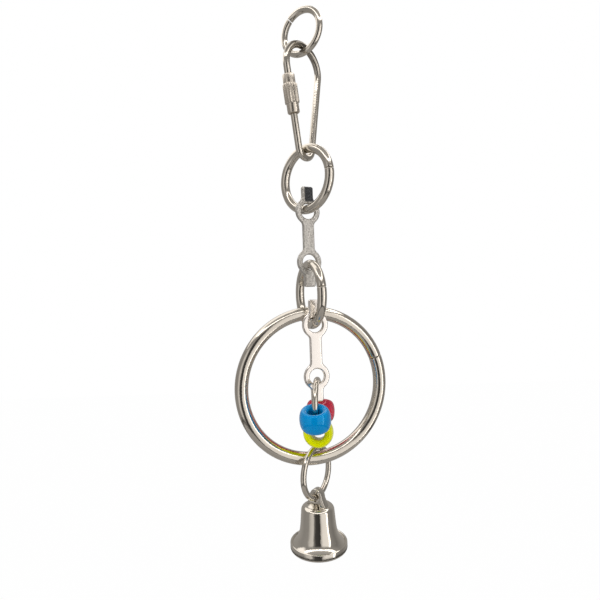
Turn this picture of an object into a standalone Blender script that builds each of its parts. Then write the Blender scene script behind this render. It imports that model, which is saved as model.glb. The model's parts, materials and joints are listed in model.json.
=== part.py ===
"""Hanging bead puller for a bird cage: wire rings, a quick link, two flat straps, three beads and a bell.

Metres, +Z up. The origin is the inner top of the hanging ring, where a hook carries the toy. Every piece
hangs plumb below it. X runs to the right and -Y is the front.
"""

import math

import bmesh
import bpy
from mathutils import Matrix, Vector

# Clearances
SEAT_GAP = 0.0003  # between a piece and what it rests on
SEAM_GAP = 0.0002  # open butt joint of a bent ring

# Rings bent from round wire
HANGING_RING_INSIDE = 0.0106
HANGING_RING_WIRE = 0.0019
CHAIN_RING_INSIDE = 0.0151
CHAIN_RING_WIRE = 0.00265
SMALL_RING_INSIDE = 0.0125
SMALL_RING_WIRE = 0.0017
LARGE_RING_WIRE = 0.0038

# Pear-shaped quick link, wide end up
LINK_LENGTH = 0.0347
LINK_WIDTH = 0.0155
LINK_WIRE = 0.0020
LINK_PLAY = 0.000475  # free room on each side of the ring in the narrow end
LINK_OPENING = 0.0050  # gap in the wire that the sleeve closes
LINK_STUB = 0.0026  # wire end that the closed sleeve grips

# Screw sleeve of the quick link
SLEEVE_LENGTH = 0.0107
SLEEVE_WIDTH = 0.0042
SLEEVE_COLLAR_WIDTH = 0.0035
SLEEVE_COLLAR_LENGTH = 0.0026
SLEEVE_CHAMFER = 0.0003
SLEEVE_CLEARANCE = 0.0002
SLEEVE_START = 0.0026  # straight wire left bare above the closed sleeve
FLUTE_DEPTH = 0.0002
FLUTES = 16

# Flat straps with an eye near each end
STRAP_PITCH = 0.01475
STRAP_THICKNESS = 0.0011
STRAP_NECK_WIDTH = 0.0036
STRAP_FILLET = 0.0016
STRAP_TAB = 0.0034  # stub past the rim of each eye
STRAP_CORNER = 0.0006
STRAP_EDGE = 0.00025
EYE_RIM = 0.00165
EYE_PLAY = 0.00085  # room round the chain ring's wire in an eye

# Pony beads
BEAD_WIDTH = 0.0086
BEAD_LENGTH = 0.0058
BEAD_BORE = 0.0041
BEAD_MOUTH_ROUND = 0.0008
BEAD_FULLNESS = 2.2  # power of the barrel's outline, where 2 is an ellipse
BEAD_PLAY = 0.0003  # room between neighbouring beads
BEAD_SLIDE = 5  # degrees that the beads lie round their ring towards its front
BEAD_TO_BELL_RING = 0.0003

# Bell with a cast loop
BELL_WIDTH = 0.0166
BELL_SHOULDER_WIDTH = 0.0097
BELL_HEIGHT = 0.0124
BELL_WALL = 0.0010
BELL_CROWN = 0.0012
BELL_SHOULDER_ROUND = 0.0014
BELL_LIP_ROUND = 0.00075
BELL_TAPER = 0.28  # share of the flare that the body gains evenly
BELL_FLARE_POWER = 6
LOOP_PLAY = 0.00035
LOOP_RIM = 0.0013
LOOP_THICKNESS = 0.0024
LOOP_BASE_WIDTH = 0.0062
LOOP_FLOOR = 0.0011  # metal below the loop's hole
LOOP_EDGE = 0.0004
BOSS_RISE = 0.0007

# Clapper inside the bell
STAPLE_WIRE = 0.0007
STAPLE_BEND = 0.0011
STAPLE_LEG = 0.0006
CLAPPER_WIRE = 0.0007
CLAPPER_DROP = 0.0041  # from its pivot to the centre of its ball
CLAPPER_BALL = 0.0034

# How far each piece is turned about the plumb line, in degrees
HANGING_RING_TURN = -35
QUICK_LINK_TURN = 47
UPPER_RING_TURN = -44
UPPER_STRAP_TURN = 24
MIDDLE_RING_TURN = -70
LARGE_RING_TURN = 16.6
BEAD_RING_TURN = 82
BELL_RING_TURN = 57

# Where the butt joint of each ring lies, in degrees up from its own +X
HANGING_RING_SEAM = 130
UPPER_RING_SEAM = 8
MIDDLE_RING_SEAM = 12
LARGE_RING_SEAM = 24
BEAD_RING_SEAM = 60
BELL_RING_SEAM = 75

# Fineness of the meshes
WIRE_SIDES = 10
RING_STEPS = 40
LARGE_RING_STEPS = 60
ARC_STEPS = 3
ROUND_STEPS = 8
HOLE_STEPS = 16
TURN_STEPS = 20
BELL_STEPS = 30

# Colours, metal and roughness of each finish
NICKEL = ((0.72, 0.70, 0.66, 1), 1.0, 0.12)
SATIN_NICKEL = ((0.62, 0.61, 0.59, 1), 1.0, 0.35)
BELL_NICKEL = ((0.60, 0.58, 0.54, 1), 1.0, 0.16)
BLUE = ((0.0, 0.2, 0.55, 1), 0.0, 0.2)
YELLOW = ((0.62, 0.65, 0.01, 1), 0.0, 0.2)
RED = ((0.42, 0.01, 0.04, 1), 0.0, 0.2)

# Sizes that follow from the fits
CHAIN_RING_RADIUS = (CHAIN_RING_INSIDE + CHAIN_RING_WIRE) / 2
SMALL_RING_RADIUS = (SMALL_RING_INSIDE + SMALL_RING_WIRE) / 2
EYE_HOLE = CHAIN_RING_WIRE / 2 + EYE_PLAY
EYE_RADIUS = EYE_HOLE + EYE_RIM
LINK_TOP_RADIUS = (LINK_WIDTH - LINK_WIRE) / 2
LINK_FOOT_RADIUS = CHAIN_RING_WIRE / 2 + LINK_PLAY + LINK_WIRE / 2
LOOP_HOLE = SMALL_RING_WIRE / 2 + LOOP_PLAY


def heading(turn):
    """The level direction of a piece's own +X after it is turned about the plumb line."""
    angle = math.radians(turn)
    return Vector((math.cos(angle), math.sin(angle), 0))


def on_circle(centre, radius, angle):
    return (centre[0] + radius * math.cos(angle), centre[1] + radius * math.sin(angle))


def arc(centre, radius, start, end, steps):
    """Points on a circle from one angle to another, both ends included."""
    return [on_circle(centre, radius, start + (end - start) * n / steps) for n in range(steps + 1)]


def finish_mesh(bm, name):
    """Welds the seams, turns the faces outwards and shades the mesh smooth."""
    bmesh.ops.remove_doubles(bm, verts=bm.verts, dist=1e-6)
    bmesh.ops.recalc_face_normals(bm, faces=bm.faces)
    mesh = bpy.data.meshes.new(name)
    bm.to_mesh(mesh)
    bm.free()
    mesh.shade_smooth()
    mesh.set_sharp_from_angle(angle=math.radians(40))
    return mesh


def ring_mesh(name, radius, wire, seam, centre_z, steps=RING_STEPS):
    """A ring in the XZ plane, bent from round wire and left open at its butt joint."""
    half_seam = math.asin(SEAM_GAP / (2 * radius))
    start = math.radians(seam) + half_seam
    bm = bmesh.new()
    place = Matrix.Rotation(-start, 4, "Y") @ Matrix.Translation((radius, 0, 0))
    bmesh.ops.create_circle(bm, cap_ends=True, segments=WIRE_SIDES, radius=wire / 2, matrix=place)
    bmesh.ops.spin(
        bm,
        geom=bm.verts[:] + bm.edges[:] + bm.faces[:],
        cent=(0, 0, 0),
        axis=(0, -1, 0),
        angle=2 * math.pi - 2 * half_seam,
        steps=steps,
        use_duplicate=False,
    )
    bmesh.ops.translate(bm, verts=bm.verts, vec=(0, 0, centre_z))
    return finish_mesh(bm, name)


def wire_mesh(name, path, wire):
    """A bent wire with flat ends along points (x, z)."""
    bm = bmesh.new()
    sections = []
    for n, (x, z) in enumerate(path):
        before, after = path[max(n - 1, 0)], path[min(n + 1, len(path) - 1)]
        along = Vector((after[0] - before[0], 0, after[1] - before[1])).normalized()
        side = Vector((along.z, 0, -along.x))
        section = []
        for k in range(WIRE_SIDES):
            angle = 2 * math.pi * k / WIRE_SIDES
            offset = side * math.cos(angle) + Vector((0, math.sin(angle), 0))
            section.append(bm.verts.new(Vector((x, 0, z)) + offset * wire / 2))
        sections.append(section)
    join_loops(bm, sections)
    bm.faces.new(sections[0])
    bm.faces.new(sections[-1])
    return finish_mesh(bm, name)


def join_loops(bm, loops):
    """Faces between each loop of vertices and the next one."""
    for one, two in zip(loops, loops[1:]):
        for k in range(len(one)):
            after = (k + 1) % len(one)
            bm.faces.new((one[k], one[after], two[after], two[k]))


def turned_mesh(name, profile, steps, closed):
    """A solid turned about Z from points (radius, z), either a closed loop or a line from axis to axis."""
    bm = bmesh.new()
    verts = [bm.verts.new((radius, 0, z)) for radius, z in profile]
    for one, two in zip(verts, verts[1:]):
        bm.edges.new((one, two))
    if closed:
        bm.edges.new((verts[-1], verts[0]))
    bmesh.ops.spin(
        bm,
        geom=bm.verts[:] + bm.edges[:],
        cent=(0, 0, 0),
        axis=(0, 0, 1),
        angle=2 * math.pi,
        steps=steps,
        use_duplicate=False,
    )
    return finish_mesh(bm, name)


def plate_mesh(name, loops_at, thickness, edge, place):
    """A flat plate with holes and rounded edges. loops_at gives its outline and holes at an inset."""
    bm = bmesh.new()
    half = thickness / 2
    cut = edge * (1 - math.sqrt(0.5))
    levels = [(half, edge), (half - cut, cut), (half - edge, 0)]
    levels += [(-level, inset) for level, inset in reversed(levels)]
    layers = []
    for level, inset in levels:
        layers.append([[bm.verts.new(place(p, level)) for p in loop] for loop in loops_at(inset)])
    for loops in zip(*layers):
        join_loops(bm, loops)
    for layer in (layers[0], layers[-1]):
        rim = []
        for loop in layer:
            ahead = loop[1:] + loop[:1]
            rim += [bm.edges.get(pair) for pair in zip(loop, ahead)]
        bmesh.ops.triangle_fill(bm, edges=rim, use_beauty=True)
    return finish_mesh(bm, name)


def material(name, finish):
    colour, metallic, roughness = finish
    made = bpy.data.materials.new(name)
    made.use_nodes = True
    shader = made.node_tree.nodes["Principled BSDF"]
    shader.inputs["Base Color"].default_value = colour
    shader.inputs["Metallic"].default_value = metallic
    shader.inputs["Roughness"].default_value = roughness
    return made


def add_pivot(name, parent, place):
    """An empty on a joint's axis, at a place in world coordinates."""
    empty = bpy.data.objects.new(name, None)
    bpy.context.scene.collection.objects.link(empty)
    empty.empty_display_size = LINK_WIDTH
    empty["place"] = place
    empty.location = place
    if parent:
        empty.parent = parent
        empty.location = place - Vector(parent["place"])
    return empty


def add_piece(name, mesh, finish, pivot, turn, lean=0.0):
    """A piece at its pivot, turned about the plumb line after it leans about its own Y."""
    piece = bpy.data.objects.new(name, mesh)
    bpy.context.scene.collection.objects.link(piece)
    piece.parent = pivot
    piece.rotation_euler = (0, lean, math.radians(turn))
    mesh.materials.append(material(name, finish))
    return piece


def add_union(piece, mesh):
    """Fuses another closed mesh into a piece, in the piece's own frame."""
    tool = bpy.data.objects.new(mesh.name, mesh)
    bpy.context.scene.collection.objects.link(tool)
    tool.parent = piece
    tool.hide_render = True
    tool.display_type = "WIRE"
    union = piece.modifiers.new("fuse", "BOOLEAN")
    union.operation = "UNION"
    union.solver = "EXACT"
    union.object = tool


def strap_loops(upper_eye):
    """The strap's outline and eye holes at an inset, as points (x, z)."""
    lower_eye = upper_eye - STRAP_PITCH

    def loops_at(inset):
        neck = STRAP_NECK_WIDTH / 2 - inset
        eye = EYE_RADIUS - inset
        fillet = STRAP_FILLET + inset
        corner = STRAP_CORNER - inset
        end = EYE_RADIUS + STRAP_TAB - inset
        reach = neck + fillet
        drop = math.sqrt((eye + fillet) ** 2 - reach**2)
        swing = math.atan2(drop, reach)
        side = arc((neck - corner, upper_eye + end - corner), corner, math.pi / 2, 0, ARC_STEPS)
        for z in (upper_eye, lower_eye):
            side += arc((reach, z + drop), fillet, math.pi, math.pi + swing, ARC_STEPS)
            side += arc((0, z), eye, swing, -swing, ROUND_STEPS)[1:-1]
            side += arc((reach, z - drop), fillet, math.pi - swing, math.pi, ARC_STEPS)
        side += arc((neck - corner, lower_eye - end + corner), corner, 0, -math.pi / 2, ARC_STEPS)
        outline = side + [(-x, z) for x, z in reversed(side)]
        holes = []
        for z in (upper_eye, lower_eye):
            holes.append(arc((0, z), EYE_HOLE + inset, 0, 2 * math.pi, HOLE_STEPS)[:-1])
        return [outline] + holes

    return loops_at


def strap_mesh(name, upper_eye):
    return plate_mesh(
        name, strap_loops(upper_eye), STRAP_THICKNESS, STRAP_EDGE, lambda p, level: (p[0], level, p[1])
    )


def link_legs(top_z):
    """The quick link's bend centres, its lean, and its left leg's two ends, as points (x, z)."""
    foot_z = top_z - (LINK_LENGTH - LINK_WIRE)
    head = (0, top_z - LINK_TOP_RADIUS)
    foot = (0, foot_z + LINK_FOOT_RADIUS)
    lean = math.asin((LINK_TOP_RADIUS - LINK_FOOT_RADIUS) / (head[1] - foot[1]))
    upper = on_circle(head, LINK_TOP_RADIUS, math.pi + lean)
    lower = on_circle(foot, LINK_FOOT_RADIUS, math.pi + lean)
    return head, foot, lean, Vector(upper), Vector(lower)


def link_mesh(name, top_z):
    """The link's one wire, from its lower end round the foot and head to the stub above the gap."""
    head, foot, lean, upper, lower = link_legs(top_z)
    down = (lower - upper).normalized()
    stub_end = upper + down * (SLEEVE_START + LINK_STUB)
    rod_end = stub_end + down * LINK_OPENING
    path = [tuple(rod_end)]
    path += arc(foot, LINK_FOOT_RADIUS, math.pi + lean, 2 * math.pi - lean, 2 * ROUND_STEPS)
    path += arc(head, LINK_TOP_RADIUS, -lean, math.pi + lean, 3 * ROUND_STEPS)
    path.append(tuple(stub_end))
    return wire_mesh(name, path, LINK_WIRE)


def sleeve_mesh(name):
    """A fluted nut with a plain collar at each end, along Z and centred on the origin."""
    end = SLEEVE_LENGTH / 2
    collar = SLEEVE_COLLAR_WIDTH / 2
    step = (SLEEVE_WIDTH - SLEEVE_COLLAR_WIDTH) / 2
    flute_end = end - SLEEVE_COLLAR_LENGTH
    upper_half = [
        (end, collar - SLEEVE_CHAMFER, 0),
        (end - SLEEVE_CHAMFER, collar, 0),
        (flute_end, collar, 0),
        (flute_end - step, SLEEVE_WIDTH / 2, FLUTE_DEPTH),
    ]
    bore = LINK_WIRE / 2 + SLEEVE_CLEARANCE
    stations = upper_half + [(-z, radius, depth) for z, radius, depth in reversed(upper_half)]
    stations += [(-end, bore, 0), (end, bore, 0)]
    points_per_flute = 2
    count = FLUTES * points_per_flute
    bm = bmesh.new()
    loops = []
    for z, radius, depth in stations:
        loop = []
        for k in range(count):
            groove = depth if k % points_per_flute == 0 else 0
            x, y = on_circle((0, 0), radius - groove, 2 * math.pi * k / count)
            loop.append(bm.verts.new((x, y, z)))
        loops.append(loop)
    join_loops(bm, loops + loops[:1])
    return finish_mesh(bm, name)


def bead_profile():
    """A pony bead's section as points (radius, z): a full barrel outside and round mouths on a straight bore."""
    bore = BEAD_BORE / 2
    end = BEAD_LENGTH / 2
    crest = bore + BEAD_MOUTH_ROUND
    bulge = BEAD_WIDTH / 2 - crest
    power = 2 / BEAD_FULLNESS
    outer = []
    for n in range(1, ROUND_STEPS):
        angle = math.pi / 2 - math.pi * n / ROUND_STEPS
        rise = math.copysign(abs(math.sin(angle)) ** power, angle)
        outer.append((crest + bulge * math.cos(angle) ** power, end * rise))
    land = end - BEAD_MOUTH_ROUND
    upper_mouth = arc((crest, land), BEAD_MOUTH_ROUND, math.pi, math.pi / 2, ARC_STEPS)
    lower_mouth = arc((crest, -land), BEAD_MOUTH_ROUND, -math.pi / 2, -math.pi, ARC_STEPS)
    return upper_mouth + outer + lower_mouth


def bead_run():
    """How far a bead's axis lies from its ring's centre: outwards until the bore meets the curved wire."""
    land = BEAD_LENGTH / 2 - BEAD_MOUTH_ROUND
    wire_inside = SMALL_RING_INSIDE / 2
    return math.sqrt(wire_inside**2 - land**2) - SEAT_GAP + BEAD_BORE / 2


def bead_spacing():
    """The angle on the ring between neighbouring beads."""
    run = bead_run()
    reach = [math.atan2(z + BEAD_PLAY / 2, run - radius) for radius, z in bead_profile()]
    return 2 * max(reach)


def bead_mesh(name, run, angle):
    """A bead threaded on a ring in the XZ plane, at an angle up from +X and centred on the ring."""
    mesh = turned_mesh(name, bead_profile(), TURN_STEPS, closed=True)
    mesh.transform(Matrix.Rotation(-angle, 4, "Y") @ Matrix.Translation((run, 0, 0)))
    return mesh


def bell_profile(crown_z):
    """The bell's section from the axis above the crown, out round the lip, to the axis below it."""
    shoulder = BELL_SHOULDER_WIDTH / 2
    lip_z = crown_z - BELL_HEIGHT + BELL_LIP_ROUND
    lip = (BELL_WIDTH / 2 - BELL_LIP_ROUND, lip_z)
    flank_top = crown_z - BELL_SHOULDER_ROUND
    boss = LOOP_THICKNESS / 2 + BOSS_RISE
    rim_start = math.radians(70)
    rim_end = math.radians(-150)
    spread = on_circle(lip, BELL_LIP_ROUND, rim_start)

    def flank(share, inset):
        flare = BELL_TAPER * share + (1 - BELL_TAPER) * share**BELL_FLARE_POWER
        radius = shoulder + (spread[0] - shoulder) * flare
        return (radius - inset, flank_top + (spread[1] - flank_top) * share)

    profile = [(0, crown_z + BOSS_RISE), (boss, crown_z + BOSS_RISE), (LOOP_BASE_WIDTH / 2, crown_z)]
    bend = (shoulder - BELL_SHOULDER_ROUND, flank_top)
    profile += arc(bend, BELL_SHOULDER_ROUND, math.pi / 2, 0, ARC_STEPS)
    profile += [flank(n / ROUND_STEPS, 0) for n in range(1, ROUND_STEPS)]
    profile += arc(lip, BELL_LIP_ROUND, rim_start, rim_end, ROUND_STEPS)
    inner_levels = range(ROUND_STEPS - 1, 0, -1)
    profile += [flank(n / ROUND_STEPS, BELL_WALL) for n in inner_levels]
    ceiling = crown_z - BELL_CROWN
    profile.append((shoulder - BELL_SHOULDER_ROUND, ceiling))
    profile.append((0, ceiling))
    return profile


def loop_mesh(name, crown_z, hole_z):
    """The cast loop on the crown: a plate across Y with a hole for the ring and feet that spread."""
    root_z = crown_z - BELL_CROWN / 2

    def loops_at(inset):
        radius = LOOP_HOLE + LOOP_RIM - inset
        foot = LOOP_BASE_WIDTH / 2 - inset
        outline = arc((0, hole_z), radius, 0, math.pi, 2 * ROUND_STEPS)
        outline += [(-foot, crown_z), (-foot, root_z), (foot, root_z), (foot, crown_z)]
        hole = arc((0, hole_z), LOOP_HOLE + inset, 0, 2 * math.pi, HOLE_STEPS)[:-1]
        return [outline, hole]

    return plate_mesh(name, loops_at, LOOP_THICKNESS, LOOP_EDGE, lambda p, level: (level, p[0], p[1]))


def staple_mesh(name, ceiling):
    """The wire staple under the crown that the clapper's eye hangs on, and the height of its bend."""
    top = ceiling - SEAT_GAP
    bend = (0, top - STAPLE_LEG)
    path = [(-STAPLE_BEND, top)]
    path += arc(bend, STAPLE_BEND, math.pi, 2 * math.pi, 2 * ROUND_STEPS)
    path.append((STAPLE_BEND, top))
    return wire_mesh(name, path, STAPLE_WIRE), bend[1] - STAPLE_BEND


def clapper_profile(eye_radius):
    """The clapper's stem and ball below its eye, as points (radius, z) from axis to axis."""
    stem = CLAPPER_WIRE / 2
    ball = CLAPPER_BALL / 2
    meet = math.asin(stem / ball)
    profile = [(0, -eye_radius), (stem, -eye_radius)]
    profile += arc((0, -CLAPPER_DROP), ball, math.pi / 2 - meet, -math.pi / 2, ROUND_STEPS)[:-1]
    profile.append((0, -CLAPPER_DROP - ball))
    return profile


def eye_mesh(name, radius, wire):
    """The closed wire eye at the clapper's top, in the YZ plane round its pivot."""
    section = arc((radius, 0), wire / 2, 0, 2 * math.pi, WIRE_SIDES)[:-1]
    mesh = turned_mesh(name, section, TURN_STEPS, closed=True)
    mesh.transform(Matrix.Rotation(math.pi / 2, 4, "Y"))
    return mesh


def below(place, drop):
    return place + Vector((0, 0, drop))


def clear_scene():
    for thing in list(bpy.data.objects):
        bpy.data.objects.remove(thing, do_unlink=True)


def build_hanger():
    """The hanging ring and the quick link with its sleeve. Returns the pivot in the link's narrow end."""
    radius = (HANGING_RING_INSIDE + HANGING_RING_WIRE) / 2
    root = add_pivot("hang_point", None, Vector((0, 0, 0)))
    ring = ring_mesh(
        "hanging_ring", radius, HANGING_RING_WIRE, HANGING_RING_SEAM, -HANGING_RING_INSIDE / 2
    )
    add_piece("hanging_ring", ring, NICKEL, root, HANGING_RING_TURN)

    pivot = add_pivot("quick_link_pivot", root, Vector((0, 0, HANGING_RING_WIRE / 2 - 2 * radius)))
    top_z = HANGING_RING_WIRE / 2 + SEAT_GAP + LINK_WIRE / 2
    link = link_mesh("quick_link_body", top_z)
    add_piece("quick_link_body", link, NICKEL, pivot, QUICK_LINK_TURN)

    lean, upper, lower = link_legs(top_z)[2:]
    middle = upper + (lower - upper).normalized() * (SLEEVE_START + SLEEVE_LENGTH / 2)
    across = heading(QUICK_LINK_TURN) * middle.x
    seat = add_pivot("sleeve_seat", pivot, below(Vector(pivot["place"]) + across, middle.y))
    add_piece("quick_link_sleeve", sleeve_mesh("quick_link_sleeve"), NICKEL, seat, QUICK_LINK_TURN, -lean)

    narrow_end = top_z - (LINK_LENGTH - LINK_WIRE)
    return add_pivot("upper_ring_pivot", pivot, below(Vector(pivot["place"]), narrow_end))


def build_chain(ring_pivot):
    """The upper ring, upper strap and middle ring. Returns the pivot on the middle ring's lowest wire."""
    upper_centre = LINK_WIRE / 2 + SEAT_GAP + CHAIN_RING_WIRE / 2 - CHAIN_RING_RADIUS
    upper = ring_mesh("upper_ring", CHAIN_RING_RADIUS, CHAIN_RING_WIRE, UPPER_RING_SEAM, upper_centre)
    add_piece("upper_ring", upper, NICKEL, ring_pivot, UPPER_RING_TURN)

    strap_place = below(Vector(ring_pivot["place"]), upper_centre - CHAIN_RING_RADIUS)
    strap_pivot = add_pivot("upper_strap_pivot", ring_pivot, strap_place)
    upper_eye = CHAIN_RING_WIRE / 2 + SEAT_GAP - EYE_HOLE
    strap = strap_mesh("upper_strap_link", upper_eye)
    add_piece("upper_strap_link", strap, SATIN_NICKEL, strap_pivot, UPPER_STRAP_TURN)

    rim_place = below(strap_place, upper_eye - STRAP_PITCH - EYE_HOLE)
    middle_pivot = add_pivot("middle_ring_pivot", strap_pivot, rim_place)
    middle_centre = SEAT_GAP + CHAIN_RING_WIRE / 2 - CHAIN_RING_RADIUS
    middle = ring_mesh("middle_ring", CHAIN_RING_RADIUS, CHAIN_RING_WIRE, MIDDLE_RING_SEAM, middle_centre)
    add_piece("middle_ring", middle, NICKEL, middle_pivot, MIDDLE_RING_TURN)
    return add_pivot("large_ring_pivot", middle_pivot, below(rim_place, middle_centre - CHAIN_RING_RADIUS))


def build_beads(large_pivot):
    """The lower strap, which hangs in front of the large ring, and the ring of beads on it.

    Returns the lowest height that a bead's underside comes to.
    """
    ahead = LARGE_RING_WIRE / 2 + STRAP_THICKNESS / 2 + SEAT_GAP
    slope = math.asin(ahead / CHAIN_RING_RADIUS)
    climb = CHAIN_RING_RADIUS * (1 - math.cos(slope))
    wire_top = CHAIN_RING_WIRE / 2 / math.cos(slope) + STRAP_THICKNESS / 2 * math.tan(slope)
    strap_place = Vector(large_pivot["place"]) + heading(MIDDLE_RING_TURN) * ahead
    strap_pivot = add_pivot("lower_strap_pivot", large_pivot, strap_place)
    upper_eye = climb + wire_top + SEAT_GAP - EYE_HOLE
    strap = strap_mesh("lower_strap_link", upper_eye)
    add_piece("lower_strap_link", strap, NICKEL, strap_pivot, LARGE_RING_TURN)

    rim_place = below(strap_place, upper_eye - STRAP_PITCH - EYE_HOLE)
    ring_pivot = add_pivot("bead_ring_pivot", strap_pivot, rim_place)
    centre_z = SEAT_GAP + SMALL_RING_WIRE / 2 - SMALL_RING_RADIUS
    ring = ring_mesh("bead_ring", SMALL_RING_RADIUS, SMALL_RING_WIRE, BEAD_RING_SEAM, centre_z)
    add_piece("bead_ring", ring, NICKEL, ring_pivot, BEAD_RING_TURN)

    hub = add_pivot("bead_hub", ring_pivot, below(rim_place, centre_z))
    run = bead_run()
    middle = -math.pi / 2 - math.radians(BEAD_SLIDE)
    places = {"blue_bead": (-bead_spacing(), BLUE), "red_bead": (bead_spacing(), RED)}
    for name, (shift, finish) in places.items():
        add_piece(name, bead_mesh(name, run, middle + shift), finish, hub, BEAD_RING_TURN)
    along, up = on_circle((0, 0), run, middle)
    spin_place = below(Vector(hub["place"]) + heading(BEAD_RING_TURN) * along, up)
    spin = add_pivot("yellow_bead_spin", hub, spin_place)
    yellow = bead_mesh("yellow_bead", 0, middle)
    add_piece("yellow_bead", yellow, YELLOW, spin, BEAD_RING_TURN)
    return hub["place"][2] - run - BEAD_WIDTH / 2


def build_large_ring(pivot, beads_end):
    """The large ring, sized so that the bell's ring passes under the beads. Returns its lowest wire's pivot."""
    top_z = CHAIN_RING_WIRE / 2 + SEAT_GAP + LARGE_RING_WIRE / 2
    bell_ring_stack = BEAD_TO_BELL_RING + SMALL_RING_WIRE + SEAT_GAP + LARGE_RING_WIRE / 2
    bottom_z = beads_end - bell_ring_stack - pivot["place"][2]
    radius = (top_z - bottom_z) / 2
    ring = ring_mesh(
        "large_ring", radius, LARGE_RING_WIRE, LARGE_RING_SEAM, top_z - radius, LARGE_RING_STEPS
    )
    add_piece("large_ring", ring, NICKEL, pivot, LARGE_RING_TURN)
    return add_pivot("bell_ring_pivot", pivot, below(Vector(pivot["place"]), bottom_z))


def build_bell(ring_pivot):
    """The bell's ring, and the bell with its staple and clapper."""
    centre_z = LARGE_RING_WIRE / 2 + SEAT_GAP + SMALL_RING_WIRE / 2 - SMALL_RING_RADIUS
    ring = ring_mesh("bell_ring", SMALL_RING_RADIUS, SMALL_RING_WIRE, BELL_RING_SEAM, centre_z)
    add_piece("bell_ring", ring, NICKEL, ring_pivot, BELL_RING_TURN)

    bell_place = below(Vector(ring_pivot["place"]), centre_z - SMALL_RING_RADIUS)
    pivot = add_pivot("bell_pivot", ring_pivot, bell_place)
    hole_z = SMALL_RING_WIRE / 2 + SEAT_GAP - LOOP_HOLE
    crown_z = hole_z - LOOP_HOLE - LOOP_FLOOR
    shell = turned_mesh("bell_shell", bell_profile(crown_z), BELL_STEPS, closed=False)
    bell = add_piece("bell_shell", shell, BELL_NICKEL, pivot, BELL_RING_TURN)
    add_union(bell, loop_mesh("bell_loop", crown_z, hole_z))

    staple, bend_z = staple_mesh("clapper_staple", crown_z - BELL_CROWN)
    add_piece("clapper_staple", staple, NICKEL, pivot, BELL_RING_TURN)
    clapper_pivot = add_pivot("clapper_pivot", pivot, below(bell_place, bend_z))
    eye_radius = STAPLE_WIRE / 2 + SEAT_GAP + CLAPPER_WIRE / 2
    stem = turned_mesh("bell_clapper", clapper_profile(eye_radius), TURN_STEPS, closed=False)
    clapper = add_piece("bell_clapper", stem, NICKEL, clapper_pivot, BELL_RING_TURN)
    add_union(clapper, eye_mesh("clapper_eye", eye_radius, CLAPPER_WIRE))


def main():
    clear_scene()
    narrow_end = build_hanger()
    large_pivot = build_chain(narrow_end)
    beads_end = build_beads(large_pivot)
    bell_ring_pivot = build_large_ring(large_pivot, beads_end)
    build_bell(bell_ring_pivot)


main()
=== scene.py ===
"""Looks of the hanging bead puller: plated wire, pressed straps, moulded beads and a cast bell.

Metres, +Z up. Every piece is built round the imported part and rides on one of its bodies.
"""

import json
import math

import bpy
from mathutils import Matrix, Vector


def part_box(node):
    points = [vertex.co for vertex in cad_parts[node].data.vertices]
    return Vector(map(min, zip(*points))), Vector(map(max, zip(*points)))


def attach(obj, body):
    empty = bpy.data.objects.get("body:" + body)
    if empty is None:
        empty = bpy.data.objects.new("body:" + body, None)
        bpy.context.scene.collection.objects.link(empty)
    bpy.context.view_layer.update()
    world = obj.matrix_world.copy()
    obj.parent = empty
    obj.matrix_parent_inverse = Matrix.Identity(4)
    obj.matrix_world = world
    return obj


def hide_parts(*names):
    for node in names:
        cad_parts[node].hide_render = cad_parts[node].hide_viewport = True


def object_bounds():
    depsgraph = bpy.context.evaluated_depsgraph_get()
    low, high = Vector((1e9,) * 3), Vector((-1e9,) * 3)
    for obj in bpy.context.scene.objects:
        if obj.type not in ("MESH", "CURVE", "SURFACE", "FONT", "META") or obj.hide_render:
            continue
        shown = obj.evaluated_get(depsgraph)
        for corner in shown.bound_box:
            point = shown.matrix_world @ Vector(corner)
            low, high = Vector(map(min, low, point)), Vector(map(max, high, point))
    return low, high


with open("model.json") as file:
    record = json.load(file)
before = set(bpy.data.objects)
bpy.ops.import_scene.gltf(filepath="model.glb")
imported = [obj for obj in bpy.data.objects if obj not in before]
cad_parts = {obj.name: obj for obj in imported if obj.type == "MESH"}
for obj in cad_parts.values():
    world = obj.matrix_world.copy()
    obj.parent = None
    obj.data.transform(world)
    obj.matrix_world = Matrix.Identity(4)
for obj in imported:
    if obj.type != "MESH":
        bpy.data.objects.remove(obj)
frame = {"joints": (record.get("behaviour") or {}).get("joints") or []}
cad_low, cad_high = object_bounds()
JOINTS = {joint["name"]: joint for joint in frame["joints"]}

# Wires of the rings
SEAM_GAP = 0.0002
HANGING_WIRE = 0.0019
CHAIN_WIRE = 0.00265
SMALL_WIRE = 0.0017
LARGE_WIRE = 0.0038
WIRE_END_ROUND = 0.00016

# Quick link and its sleeve
LINK_WIRE = 0.0020
LINK_WIDTH = 0.0155
LINK_FOOT_RADIUS = 0.0028
LINK_BARE = 0.0026
LINK_STUB = 0.0026
LINK_OPENING = 0.0050
SLEEVE_LENGTH = 0.0107
SLEEVE_WIDTH = 0.0042
SLEEVE_COLLAR = 0.0035
SLEEVE_COLLAR_LENGTH = 0.0026
SLEEVE_CHAMFER = 0.0003
SLEEVE_BORE = 0.0024
FLUTES = 16
FLUTE_DEPTH = 0.0002

# Straps
STRAP_PITCH = 0.01475
STRAP_THICKNESS = 0.0011
STRAP_NECK = 0.0036
STRAP_FILLET = 0.0016
STRAP_TAB = 0.0034
STRAP_CORNER = 0.0006
STRAP_EDGE = 0.00042
EYE_HOLE = 0.002175
EYE_RIM = 0.00165

# Beads
BEAD_WIDTH = 0.0086
BEAD_LENGTH = 0.0058
BEAD_BORE = 0.0038
BEAD_MOUTH = 0.0012
BEAD_FULLNESS = 2.1

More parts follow.
